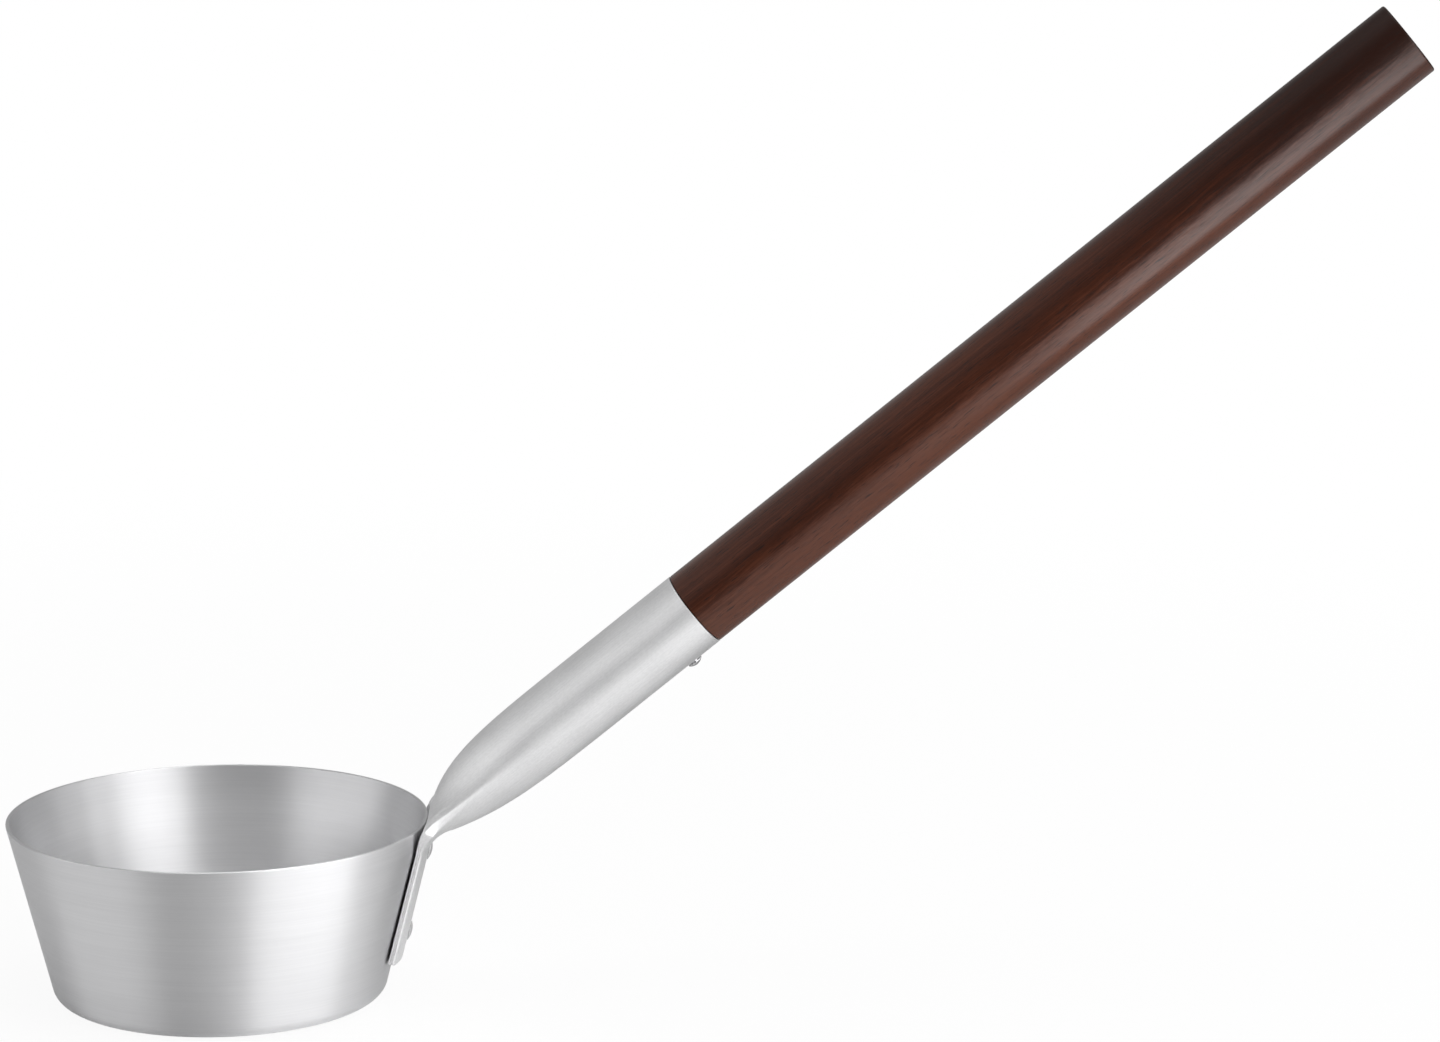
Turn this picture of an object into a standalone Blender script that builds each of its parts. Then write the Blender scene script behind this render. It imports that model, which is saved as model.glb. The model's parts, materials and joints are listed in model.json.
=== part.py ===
"""Sauna ladle: a spun bowl, a tube pressed flat and riveted to its wall, and a wooden handle.

Metres, +Z up. The origin is the centre of the bowl's flat base, and the handle rises towards +X.
"""

from math import atan2, copysign, cos, pi, radians, sin, sqrt, tan

import bmesh
import bpy
from mathutils import Matrix, Vector

# Bowl, spun from one sheet
RIM_RADIUS = 0.0580
FOOT_RADIUS = 0.0454            # where the wall's outer line meets the base plane
BOWL_HEIGHT = 0.0500
BOWL_SHEET = 0.0010
BOWL_CORNER = 0.0042            # outer radius between base and wall
RIM_EDGE = 0.0003               # broken edges of the cut rim
WALL_ANGLE = atan2(BOWL_HEIGHT, RIM_RADIUS - FOOT_RADIUS)

# Clearance between two pieces that touch on the real ladle
FIT_GAP = 0.0003

# Tube, pressed flat at its lower end and bent at the bowl's rim
HANDLE_ANGLE = radians(39.3)
TUBE_RADIUS = 0.0111
TUBE_WALL = 0.00095
TUBE_LENGTH = 0.0933            # from the bend to the mouth
STRAP_THICKNESS = 0.0022        # two walls and the slit between them
STRAP_HALF_WIDTH = 0.0130
STRAP_LENGTH = 0.0401           # from the bend to the cut end
STRAP_CORNER = 0.0006           # rounded corners of the cut end
STRAP_GROOVE = 0.00045          # depth of the groove along each edge, where the fold is pressed in
GROOVE_REACH = 0.45             # share of the edge's height that the groove takes
BEND_RADIUS = 0.0100
BEND_TURN = WALL_ANGLE - HANDLE_ANGLE
HALF_ARC = BEND_RADIUS * BEND_TURN / 2
BEND_TANGENT = BEND_RADIUS * tan(BEND_TURN / 2)
NARROW_START = -0.0005          # along the tube, from the middle of the bend
NARROW_END = -0.0085
TOP_SWELL_START = -0.0008
TOP_SWELL_RATE = 6.2            # how fast the pressed end swells to the round tube
BELLY_SWELL_START = -0.0062
BELLY_SWELL_RATE = 5.1
SWELL_END = 0.0720
FOLD_FLATNESS = 0.5             # 0 folds the wall as an ellipse, more gives flatter faces
FOLD_PINCH = 0.6                # how much sharper than round the folds are where the tube is half pressed

# Wooden handle, a dowel with a turned-down tenon
WOOD_RADIUS = 0.0110
WOOD_LENGTH = 0.2464            # what shows beyond the tube
WOOD_EDGE = 0.0006
TENON_LENGTH = 0.0480
TENON_EDGE = 0.0010

# Rivets through the strap and the bowl's wall
RIVET_DROPS = {"upper_bowl_rivet": 0.0091, "lower_bowl_rivet": 0.0329}
RIVET_SHANK = 0.0015
RIVET_HEAD = 0.0027
RIVET_DOME = 0.0008

# Round-head wood screw under the tube
SCREW_FROM_MOUTH = 0.0093
SCREW_HEAD = 0.0022
SCREW_DOME = 0.0011
SCREW_SHANK = 0.0011
SCREW_LENGTH = 0.0120
SCREW_POINT = 0.0030
RECESS_WIDTH = 0.0006
RECESS_REACH = 0.0026
RECESS_DEPTH = 0.0007

# Facets
BOWL_STEPS = 72
WOOD_STEPS = 40
SMALL_STEPS = 24
RING_POINTS = 40
NARROW_STEPS = 2
BEND_STEPS = 6
SWELL_STEPS = 12
SWELL_SPACING = 1.5             # draws the sections together where the swelling is fastest
ARC_STEPS = 5
DOME_STEPS = 5
CREASE_ANGLE = radians(35)

# Colour, roughness and metallic value of each finish
FINISHES = {
    "spun_aluminium": ((0.66, 0.66, 0.67), 0.36, 1.0),
    "satin_aluminium": ((0.68, 0.68, 0.69), 0.42, 1.0),
    "rivet_aluminium": ((0.72, 0.72, 0.73), 0.30, 1.0),
    "dark_wood": ((0.060, 0.021, 0.013), 0.42, 0.0),
    "plated_steel": ((0.74, 0.74, 0.75), 0.18, 1.0),
}


def clear_scene():
    """Remove every object from the scene."""
    for item in list(bpy.data.objects):
        bpy.data.objects.remove(item, do_unlink=True)


def new_collection(name):
    """Collection of that name under the scene."""
    group = bpy.data.collections.new(name)
    bpy.context.scene.collection.children.link(group)
    return group


def finish(name):
    """Principled material from the table of finishes."""
    material = bpy.data.materials.get(name)
    if material is None:
        colour, roughness, metallic = FINISHES[name]
        material = bpy.data.materials.new(name)
        material.use_nodes = True
        shader = material.node_tree.nodes["Principled BSDF"]
        shader.inputs["Base Color"].default_value = (*colour, 1.0)
        shader.inputs["Roughness"].default_value = roughness
        shader.inputs["Metallic"].default_value = metallic
        material.diffuse_color = (*colour, 1.0)
    return material


def working_frame(name, location, tilt, group):
    """Empty whose Z axis leans from +Z towards +X by the angle tilt."""
    empty = bpy.data.objects.new(name, None)
    empty.location = location
    empty.rotation_euler = (0.0, tilt, 0.0)
    empty.empty_display_size = 0.02
    group.objects.link(empty)
    return empty


def add_object(name, mesh, group, parent=None, location=(0, 0, 0), tilt=0.0):
    """Object in a collection, placed in its parent's frame."""
    item = bpy.data.objects.new(name, mesh)
    item.parent = parent
    item.location = location
    item.rotation_euler = (0.0, tilt, 0.0)
    group.objects.link(item)
    return item


def rounded(corners):
    """Outline through (radius, height, fillet) corners, with each fillet drawn as an arc."""
    points = [Vector(corner[:2]) for corner in corners]
    outline = [points[0]]
    for before, here, after, corner in zip(points, points[1:], points[2:], corners[1:]):
        fillet = corner[2]
        if fillet == 0.0:
            outline.append(here)
            continue
        back = (before - here).normalized()
        ahead = (after - here).normalized()
        half = back.angle(ahead) / 2
        centre = here + (back + ahead).normalized() * fillet / sin(half)
        start = (here + back * fillet / tan(half) - centre).normalized()
        end = (here + ahead * fillet / tan(half) - centre).normalized()
        outline += [centre + fillet * start.slerp(end, i / ARC_STEPS) for i in range(ARC_STEPS + 1)]
    return outline + [points[-1]]


def dome(radius, height, seat):
    """Arc of a low round head, from its crown down to its edge at the seat; a negative height faces down."""
    ball = (radius ** 2 + height ** 2) / (2 * abs(height))
    side = 1 if height > 0 else -1
    reaches = [radius * sin(pi / 2 * i / DOME_STEPS) for i in range(DOME_STEPS + 1)]
    return [Vector((r, seat + height - side * (ball - sqrt(ball ** 2 - r ** 2)))) for r in reaches]


def turned(name, outline, steps, group, parent=None, location=(0, 0, 0), tilt=0.0):
    """Solid of revolution about the object's Z axis; the outline runs down its outer side."""
    mesh = bpy.data.meshes.new(name)
    edges = [(i, i + 1) for i in range(len(outline) - 1)]
    mesh.from_pydata([(r, 0.0, z) for r, z in outline], edges, [])
    item = add_object(name, mesh, group, parent, location, tilt)
    lathe = item.modifiers.new("lathe", "SCREW")
    lathe.axis = "Z"
    lathe.steps = steps
    lathe.render_steps = steps
    lathe.use_merge_vertices = True
    lathe.merge_threshold = 0.00001
    return item


def cutter(name, build, group, parent, location, tilt=0.0):
    """Hidden solid that only cuts others; build fills its mesh."""
    shape = bmesh.new()
    build(shape)
    mesh = bpy.data.meshes.new(name)
    shape.to_mesh(mesh)
    shape.free()
    item = add_object(name, mesh, group, parent, location, tilt)
    item.display_type = "WIRE"
    item.hide_render = True
    return item


def drill(radius, depth):
    """Builder of a cylinder about Z, centred, with a facet and not an edge on the ladle's middle plane."""
    half_facet = Matrix.Rotation(pi / SMALL_STEPS, 4, "Z")

    def build(shape):
        bmesh.ops.create_cone(
            shape, cap_ends=True, segments=SMALL_STEPS, radius1=radius, radius2=radius, depth=depth,
            matrix=half_facet,
        )
    return build


def blade(width, length, depth):
    """Builder of a box for a straight slot."""
    def build(shape):
        bmesh.ops.create_cube(shape, size=1.0)
        bmesh.ops.scale(shape, vec=(length, width, depth), verts=shape.verts)
    return build


def cut(item, tool):
    """Take the tool's shape out of the piece."""
    step = item.modifiers.new(tool.name, "BOOLEAN")
    step.operation = "DIFFERENCE"
    step.solver = "EXACT"
    step.object = tool


def make_bowl(group):
    """Spun cup: flat base, rounded corner, straight tapered wall and a plain cut rim."""
    slant = BOWL_SHEET / sin(WALL_ANGLE)
    inner_foot = FOOT_RADIUS + BOWL_SHEET / tan(WALL_ANGLE) - slant
    outline = rounded([
        (0.0, BOWL_SHEET),
        (inner_foot, BOWL_SHEET, BOWL_CORNER - BOWL_SHEET),
        (RIM_RADIUS - slant, BOWL_HEIGHT, RIM_EDGE),
        (RIM_RADIUS, BOWL_HEIGHT, RIM_EDGE),
        (FOOT_RADIUS, 0.0, BOWL_CORNER),
        (0.0, 0.0),
    ])
    return turned("bowl", outline, BOWL_STEPS, group)


def bend_point():
    """Point where the tube's axis meets the middle of the strap, level with the rim."""
    stand_off = FIT_GAP + STRAP_THICKNESS / 2
    outward = Vector((sin(WALL_ANGLE), 0.0, -cos(WALL_ANGLE)))
    return Vector((RIM_RADIUS, 0.0, BOWL_HEIGHT)) + outward * stand_off


def spine(s):
    """Centre line of the pressed tube.

    s runs along it from the middle of the bend, up the tube. Returns the point and the line's slope.
    """
    if abs(s) < HALF_ARC:
        slope = (WALL_ANGLE + HANDLE_ANGLE) / 2 - s / BEND_RADIUS
        centre = bend_point() + BEND_TANGENT * Vector((cos(HANDLE_ANGLE), 0.0, sin(HANDLE_ANGLE)))
        centre += BEND_RADIUS * Vector((sin(HANDLE_ANGLE), 0.0, -cos(HANDLE_ANGLE)))
        return centre + BEND_RADIUS * Vector((-sin(slope), 0.0, cos(slope))), slope
    slope = HANDLE_ANGLE if s > 0 else WALL_ANGLE
    reach = abs(s) - HALF_ARC + BEND_TANGENT
    side = 1 if s > 0 else -1
    return bend_point() + side * reach * Vector((cos(slope), 0.0, sin(slope))), slope


def spine_length(reach):
    """Value of s at a distance from the bend point, measured along the straight lines."""
    return reach - BEND_TANGENT + HALF_ARC


def half_height(s, start, rate):
    """Height of one side of the section above its folds, swelling from the flat strap to the round tube."""
    t = min(1.0, max(0.0, (s - start) / (SWELL_END - start)))
    return TUBE_RADIUS - (TUBE_RADIUS - STRAP_THICKNESS / 2) * (1.0 - t) ** rate


def narrowing(s):
    """How far the folds are pressed in, from 0 on the tube to 1 on the strap, with a soft start and end."""
    t = min(1.0, max(0.0, (NARROW_START - s) / (NARROW_START - NARROW_END)))
    return t * t * (3.0 - 2.0 * t)


def end_inset(s):
    """How much the strap's rounded end corners take off its half width."""
    to_end = s + spine_length(STRAP_LENGTH)
    if to_end >= STRAP_CORNER:
        return 0.0
    return STRAP_CORNER - sqrt(max(0.0, STRAP_CORNER ** 2 - (STRAP_CORNER - to_end) ** 2))


def section(s, inset):
    """Ring of the tube's wall at s, inset from its outer skin.

    Pressing keeps the wall's girth, so what the section loses in height it gains in width. On the strap the folds
    are pressed in to its width, and the strap follows the curve of the bowl's wall.
    """
    top = half_height(s, TOP_SWELL_START, TOP_SWELL_RATE)
    belly = half_height(s, BELLY_SWELL_START, BELLY_SWELL_RATE)
    height = (top + belly) / 2
    strap_height = STRAP_THICKNESS / 2
    widest = pi / 2 * (TUBE_RADIUS - strap_height)
    pressed = (TUBE_RADIUS - height) / (TUBE_RADIUS - strap_height)
    flat = widest * pressed - narrowing(s) * (widest + strap_height - STRAP_HALF_WIDTH) - end_inset(s)
    sharpness = 1.0 + FOLD_FLATNESS * pressed ** 2
    pinch = 1.0 + FOLD_PINCH * 4 * pressed * (1.0 - pressed)
    centre, slope = spine(s)
    up = Vector((-sin(slope), 0.0, cos(slope)))
    ring = []
    for i in range(RING_POINTS):
        turn = 2 * pi * i / RING_POINTS
        fold = min(1.0, max(-1.0, sharpness * cos(turn)))
        groove = narrowing(s) * STRAP_GROOVE * max(0.0, 1.0 - (sin(turn) / GROOVE_REACH) ** 2)
        across = (height - inset) * cos(turn) + (flat - groove) * fold
        side = top if sin(turn) > 0.0 else belly
        rise = (side - inset) * copysign(abs(sin(turn)) ** pinch, sin(turn))
        rise += pressed * across ** 2 / (2 * centre.x)
        ring.append(centre + up * rise + Vector((0.0, across, 0.0)))
    return ring


def stations():
    """Places of the sections: close at the cut end, the bend and the start of the swelling."""
    end = -spine_length(STRAP_LENGTH)
    places = [end + STRAP_CORNER * (1 - cos(pi / 2 * i / ARC_STEPS)) for i in range(ARC_STEPS + 1)]
    for start, stop in ((NARROW_END, BELLY_SWELL_START), (BELLY_SWELL_START, -HALF_ARC)):
        places += [start + (stop - start) * i / NARROW_STEPS for i in range(NARROW_STEPS)]
    places += [HALF_ARC * (2 * i / BEND_STEPS - 1) for i in range(BEND_STEPS)]
    for i in range(SWELL_STEPS + 1):
        places.append(HALF_ARC + (SWELL_END - HALF_ARC) * (i / SWELL_STEPS) ** SWELL_SPACING)
    return places + [spine_length(TUBE_LENGTH)]


def make_socket(group):
    """Loft of the pressed tube: an outer and an inner skin, joined round both open ends."""
    shape = bmesh.new()
    places = stations()
    outer = [[shape.verts.new(p) for p in section(s, 0.0)] for s in places]
    inner = [[shape.verts.new(p) for p in section(s, TUBE_WALL)] for s in places]
    rings = outer + inner[::-1]
    for ring, other in zip(rings, rings[1:] + rings[:1]):
        for i in range(RING_POINTS):
            j = (i + 1) % RING_POINTS
            shape.faces.new((ring[i], ring[j], other[j], other[i]))
    bmesh.ops.recalc_face_normals(shape, faces=shape.faces)
    mesh = bpy.data.meshes.new("handle_socket")
    shape.to_mesh(mesh)
    shape.free()
    return add_object("handle_socket", mesh, group)


def make_handle(group, axis_frame):
    """Straight dowel with a tenon that fills the round end of the tube."""
    tenon = TUBE_RADIUS - TUBE_WALL - FIT_GAP
    outline = rounded([
        (0.0, WOOD_LENGTH),
        (WOOD_RADIUS, WOOD_LENGTH, WOOD_EDGE),
        (WOOD_RADIUS, 0.0, 0.0),
        (tenon, 0.0, 0.0),
        (tenon, -TENON_LENGTH, TENON_EDGE),
        (0.0, -TENON_LENGTH),
    ])
    shoulder = (0.0, 0.0, TUBE_LENGTH + FIT_GAP)
    return turned("wooden_handle", outline, WOOD_STEPS, group, axis_frame, shoulder)


def make_rivet(name, drop, group, wall_frame):
    """Solid rivet with a low domed head on each side of the clamped sheets."""
    outer_seat = STRAP_THICKNESS + 2 * FIT_GAP
    inner_seat = -BOWL_SHEET - FIT_GAP
    outline = dome(RIVET_HEAD, RIVET_DOME, outer_seat)
    outline += [Vector((RIVET_SHANK, outer_seat)), Vector((RIVET_SHANK, inner_seat))]
    outline += dome(RIVET_HEAD, -RIVET_DOME, inner_seat)[::-1]
    return turned(name, outline, SMALL_STEPS, group, wall_frame, (drop, 0.0, 0.0))


def make_screw(group, axis_frame):
    """Round-head wood screw, driven square to the tube from below."""
    seat = TUBE_RADIUS + FIT_GAP
    tip = seat - SCREW_LENGTH
    outline = dome(SCREW_HEAD, SCREW_DOME, seat)
    outline += [Vector((SCREW_SHANK, seat)), Vector((SCREW_SHANK, tip + SCREW_POINT)), Vector((0.0, tip))]
    place = (0.0, 0.0, TUBE_LENGTH - SCREW_FROM_MOUTH)
    return turned("handle_screw", outline, SMALL_STEPS, group, axis_frame, place, pi / 2)


def drill_rivet_holes(bowl, socket, tools, wall_frame):
    """Holes for the rivets through the bowl's wall and both walls of the strap."""
    depth = 4 * (BOWL_SHEET + FIT_GAP + STRAP_THICKNESS)
    for name, drop in RIVET_DROPS.items():
        build = drill(RIVET_SHANK + FIT_GAP, depth)
        tool = cutter(f"{name}_drill", build, tools, wall_frame, (drop, 0.0, 0.0))
        cut(bowl, tool)
        cut(socket, tool)


def drill_screw_hole(socket, handle, tools, axis_frame):
    """Hole through the tube's lower wall and on into the tenon, deeper than the screw."""
    radius = SCREW_SHANK + FIT_GAP
    depth = SCREW_LENGTH + 2 * FIT_GAP + TUBE_WALL
    place = (TUBE_RADIUS + FIT_GAP + TUBE_WALL - depth / 2, 0.0, TUBE_LENGTH - SCREW_FROM_MOUTH)
    tool = cutter("handle_screw_drill", drill(radius, depth), tools, axis_frame, place, pi / 2)
    cut(socket, tool)
    cut(handle, tool)


def cut_screw_recess(screw, tools, axis_frame):
    """Cross recess in the screw's head."""
    crown = TUBE_RADIUS + FIT_GAP + SCREW_DOME
    place = (crown, 0.0, TUBE_LENGTH - SCREW_FROM_MOUTH)
    sizes = {"along": (RECESS_WIDTH, RECESS_REACH), "across": (RECESS_REACH, RECESS_WIDTH)}
    for name, (width, length) in sizes.items():
        build = blade(width, length, 2 * RECESS_DEPTH)
        cut(screw, cutter(f"recess_{name}", build, tools, axis_frame, place, pi / 2))


def apply_and_shade(item):
    """Turn a piece's modifiers into plain mesh, shaded smooth between its creases."""
    bpy.context.view_layer.update()
    evaluated = item.evaluated_get(bpy.context.evaluated_depsgraph_get())
    mesh = bpy.data.meshes.new_from_object(evaluated)
    item.modifiers.clear()
    item.data = mesh
    mesh.shade_smooth()
    mesh.set_sharp_from_angle(angle=CREASE_ANGLE)


def dress(item, finish_name):
    """Give a piece its only material."""
    item.data.materials.clear()
    item.data.materials.append(finish(finish_name))


def main():
    """Build the ladle's six pieces in their places."""
    clear_scene()
    parts = new_collection("sauna_ladle")
    tools = new_collection("cutters")
    rim = (RIM_RADIUS, 0.0, BOWL_HEIGHT)
    wall_frame = working_frame("wall_frame", rim, pi - WALL_ANGLE, parts)
    axis_frame = working_frame("axis_frame", bend_point(), pi / 2 - HANDLE_ANGLE, parts)

    bowl = make_bowl(parts)
    socket = make_socket(parts)
    handle = make_handle(parts, axis_frame)
    rivets = [make_rivet(name, drop, parts, wall_frame) for name, drop in RIVET_DROPS.items()]
    screw = make_screw(parts, axis_frame)

    drill_rivet_holes(bowl, socket, tools, wall_frame)
    drill_screw_hole(socket, handle, tools, axis_frame)
    cut_screw_recess(screw, tools, axis_frame)

    finishes = {bowl: "spun_aluminium", socket: "satin_aluminium", handle: "dark_wood", screw: "plated_steel"}
    finishes.update({rivet: "rivet_aluminium" for rivet in rivets})
    for item, finish_name in finishes.items():
        apply_and_shade(item)
        dress(item, finish_name)


main()
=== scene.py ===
"""Looks of the sauna ladle: a spun bowl, a pressed tube socket, a wooden handle and their fasteners.

Metres, +Z up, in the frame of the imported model: the origin is the centre of the bowl's base, and the
handle rises towards +X. The camera stands at the photograph's viewing angle.
"""

import json
import logging
from dataclasses import dataclass
from enum import Enum
from math import atan2, copysign, cos, pi, radians, sin, sqrt, tan
from typing import Callable

import bmesh
import bpy
from mathutils import Matrix, Vector

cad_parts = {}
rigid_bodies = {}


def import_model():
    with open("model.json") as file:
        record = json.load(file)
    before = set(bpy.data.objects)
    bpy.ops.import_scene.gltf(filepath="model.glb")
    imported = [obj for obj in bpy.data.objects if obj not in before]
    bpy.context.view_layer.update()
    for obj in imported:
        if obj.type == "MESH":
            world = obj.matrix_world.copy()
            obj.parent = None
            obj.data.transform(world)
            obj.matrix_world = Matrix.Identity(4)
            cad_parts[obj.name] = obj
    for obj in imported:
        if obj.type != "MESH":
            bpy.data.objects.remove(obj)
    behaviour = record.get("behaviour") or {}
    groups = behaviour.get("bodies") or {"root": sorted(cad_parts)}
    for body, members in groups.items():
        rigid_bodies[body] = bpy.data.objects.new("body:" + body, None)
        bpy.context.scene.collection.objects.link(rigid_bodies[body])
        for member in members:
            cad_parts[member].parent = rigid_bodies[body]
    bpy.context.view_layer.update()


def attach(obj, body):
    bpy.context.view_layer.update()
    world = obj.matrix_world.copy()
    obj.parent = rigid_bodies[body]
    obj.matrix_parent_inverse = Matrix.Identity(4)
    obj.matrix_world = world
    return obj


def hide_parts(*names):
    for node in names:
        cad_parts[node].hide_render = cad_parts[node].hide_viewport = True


for leftover in list(bpy.data.objects):
    bpy.data.objects.remove(leftover, do_unlink=True)
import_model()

LOG = logging.getLogger("sauna_ladle")
PIXELS = (1440, 1042)
MILLIMETRES = 1000.0
NEARLY_ZERO = 0.00001
WELD = 0.000002

Colour = tuple[float, float, float]
Span = tuple[float, float]


class Slot(Enum):
    """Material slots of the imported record."""

    BOWL = "spun_aluminium"
    SOCKET = "satin_aluminium"
    RIVET = "rivet_aluminium"
    WOOD = "dark_wood"
    SCREW = "plated_steel"


class Signal:
    """Output socket of a node, with arithmetic that adds Math nodes to its tree."""

    def __init__(self, graph: "Graph", socket: bpy.types.NodeSocket) -> None:
        """Keep the graph and the socket."""
        self.graph = graph
        self.socket = socket

    def maths(self, operation: str, first: "Signal | float", second: "Signal | float" = 0.0) -> "Signal":
        """Add one Math node.

        Args:
            operation: name of the Math node's operation.
            first: its first value.
            second: its second value.

        Returns:
            The node's result.
        """
        return self.graph.node("ShaderNodeMath", {"operation": operation}, {0: first, 1: second})

    def __add__(self, other: "Signal | float") -> "Signal":
        """Sum."""
        return self.maths("ADD", self, other)

    def __radd__(self, other: float) -> "Signal":
        """Sum with the number first."""
        return self.maths("ADD", other, self)

    def __sub__(self, other: "Signal | float") -> "Signal":
        """Difference."""
        return self.maths("SUBTRACT", self, other)

    def __rsub__(self, other: float) -> "Signal":
        """Difference with the number first."""
        return self.maths("SUBTRACT", other, self)

    def __mul__(self, other: "Signal | float") -> "Signal":
        """Product."""
        return self.maths("MULTIPLY", self, other)

    def __rmul__(self, other: float) -> "Signal":
        """Product with the number first."""
        return self.maths("MULTIPLY", other, self)

    def __truediv__(self, other: "Signal | float") -> "Signal":
        """Quotient."""
        return self.maths("DIVIDE", self, other)

    def __rtruediv__(self, other: float) -> "Signal":
        """Quotient with the number first."""
        return self.maths("DIVIDE", other, self)

    def __pow__(self, other: "Signal | float") -> "Signal":
        """Power."""
        return self.maths("POWER", self, other)

    def larger(self, other: "Signal | float") -> "Signal":
        """Larger of the two values."""
        return self.maths("MAXIMUM", self, other)

    def step(self, start: float, end: float) -> "Signal":
        """Smooth step from 0 at start to 1 at end."""
        return self.graph.node(
            "ShaderNodeMapRange",
            {"interpolation_type": "SMOOTHSTEP"},
            {0: self, 1: start, 2: end, 3: 0.0, 4: 1.0},
        )


Place = tuple[Signal, Signal, Signal]


class Graph:
    """Node tree that is filled by method calls."""

    def __init__(self, tree: bpy.types.NodeTree) -> None:
        """Keep the tree."""
        self.tree = tree

    @staticmethod
    def pick(sockets: bpy.types.bpy_prop_collection, key: int | str) -> bpy.types.NodeSocket:
        """Socket by its index, identifier or name."""
        if isinstance(key, int):
            return sockets[key]
        return next(socket for socket in sockets if key in (socket.identifier, socket.name))

    def feed(self, sockets: bpy.types.bpy_prop_collection, key: int | str, value: object) -> None:
        """Link a signal to a socket, or set the socket's value.

        Args:
            sockets: inputs of a node.
            key: index, identifier or name of the socket.
            value: a Signal, or what the socket holds.
        """
        socket = self.pick(sockets, key)
        if isinstance(value, Signal):
            self.tree.links.new(value.socket, socket)
        else:
            socket.default_value = value

    def node(
        self, kind: str, settings: dict | None = None, values: dict | None = None, output: int | str = 0
    ) -> Signal:
        """Add a node.

        Args:
            kind: the node's type.
            settings: its properties, set first; "stops" gives a colour ramp's stops.
            values: its inputs, as numbers or signals.
            output: index or name of the socket to return.

        Returns:
            The chosen output.
        """
        made = self.tree.nodes.new(kind)
        for key, setting in (settings or {}).items():
            if key == "stops":
                self.set_stops(made.color_ramp, setting)
            else:
                setattr(made, key, setting)
        for key, value in (values or {}).items():
            self.feed(made.inputs, key, value)
        return Signal(self, self.pick(made.outputs, output))

    @staticmethod
    def set_stops(ramp: bpy.types.ColorRamp, stops: tuple[tuple[float, Colour], ...]) -> None:
        """Fill a colour ramp with (place, colour) stops."""
        while len(ramp.elements) < len(stops):
            ramp.elements.new(1.0)
        for element, (place, colour) in zip(ramp.elements, stops):
            element.position = place
            element.color = (*colour, 1.0)

    def vector(self, x: Signal | float, y: Signal | float, z: Signal | float) -> Signal:
        """Vector of three values."""
        return self.node("ShaderNodeCombineXYZ", None, {0: x, 1: y, 2: z})

    def split(self, vector: Signal) -> Place:
        """Three values of a vector."""
        made = self.tree.nodes.new("ShaderNodeSeparateXYZ")
        self.feed(made.inputs, 0, vector)
        return tuple(Signal(self, socket) for socket in made.outputs)

    @staticmethod
    def length(x: Signal, y: Signal) -> Signal:
        """Length of a plane vector."""
        return (x * x + y * y) ** 0.5

    @staticmethod
    def mixed(parts: tuple[Signal, ...], shares: tuple[float, ...]) -> Signal:
        """Sum of signals, each times its share."""
        return sum((part * share for part, share in zip(parts[1:], shares[1:])), parts[0] * shares[0])


@dataclass(frozen=True)
class Grain:
    """Noise on a piece: waves a unit across the piece and along it, octaves, and what each octave keeps."""

    across: float
    along: float
    octaves: float = 2.0
    keep: float = 0.5


class Finish(Graph):
    """Principled material with its tree."""

    def __init__(self, name: str) -> None:
        """Start a material of that name."""
        self.material = bpy.data.materials.new(name)
        self.material.use_nodes = True
        super().__init__(self.material.node_tree)
        self.shader = self.tree.nodes["Principled BSDF"]

    def set(self, **values: object) -> None:
        """Set or link the shader's inputs; an underscore in a name stands for a space."""
        for name, value in values.items():
            self.feed(self.shader.inputs, name.replace("_", " "), value)

    def place(self) -> Signal:
        """Object coordinates."""
        return self.node("ShaderNodeTexCoord", output="Object")

    def in_frame(self, origin: Vector, tilt: float) -> Place:
        """Coordinates in a frame whose Z axis leans from +Z towards +X.

        Args:
            origin: the frame's origin.
            tilt: the lean in radians.

        Returns:
            The three coordinates in millimetres.
        """
        local = self.node(
            "ShaderNodeMapping",
            {"vector_type": "TEXTURE"},
            {
                "Vector": self.place(),
                "Location": origin,
                "Rotation": (0.0, tilt, 0.0),
                "Scale": (1 / MILLIMETRES,) * 3,
            },
        )
        return self.split(local)

    def noise(self, vector: Signal, kind: Grain) -> Signal:
        """Noise of about one wave a unit, from 0 to 1, with the octaves of a kind of grain."""
        return self.node(
            "ShaderNodeTexNoise",
            None,
            {"Vector": vector, "Scale": 1.0, "Detail": kind.octaves, "Roughness": kind.keep},
            "Fac",
        )

    def grain(self, place: Place, kind: Grain) -> Signal:
        """Noise over a piece.

        Args:
            place: coordinates, of which the third runs along the piece.
            kind: waves and octaves of the noise.

        Returns:
            The noise from 0 to 1.
        """
        under, side, along = place
        return self.noise(self.vector(under * kind.across, side * kind.across, along * kind.along), kind)

    def blend(self, share: Signal, first: Colour | Signal, second: Colour | Signal) -> Signal:
        """Colour between two colours."""
        colours = {
            key: value if isinstance(value, Signal) else (*value, 1.0)
            for key, value in (("A_Color", first), ("B_Color", second))
        }
        return self.node(
            "ShaderNodeMix", {"data_type": "RGBA"}, {"Factor_Float": share, **colours}, "Result_Color"
        )

    def relief(self, height: Signal, strength: float, depth: float) -> Signal:
        """Normal of a fine relief.

        Args:
            height: the relief from 0 to 1.
            strength: how much of it shows.
            depth: its depth in metres.

        Returns:
            The changed normal.
        """
        values = {"Strength": strength, "Distance": depth, "Height": height}
        return self.node("ShaderNodeBump", None, values)


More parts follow.
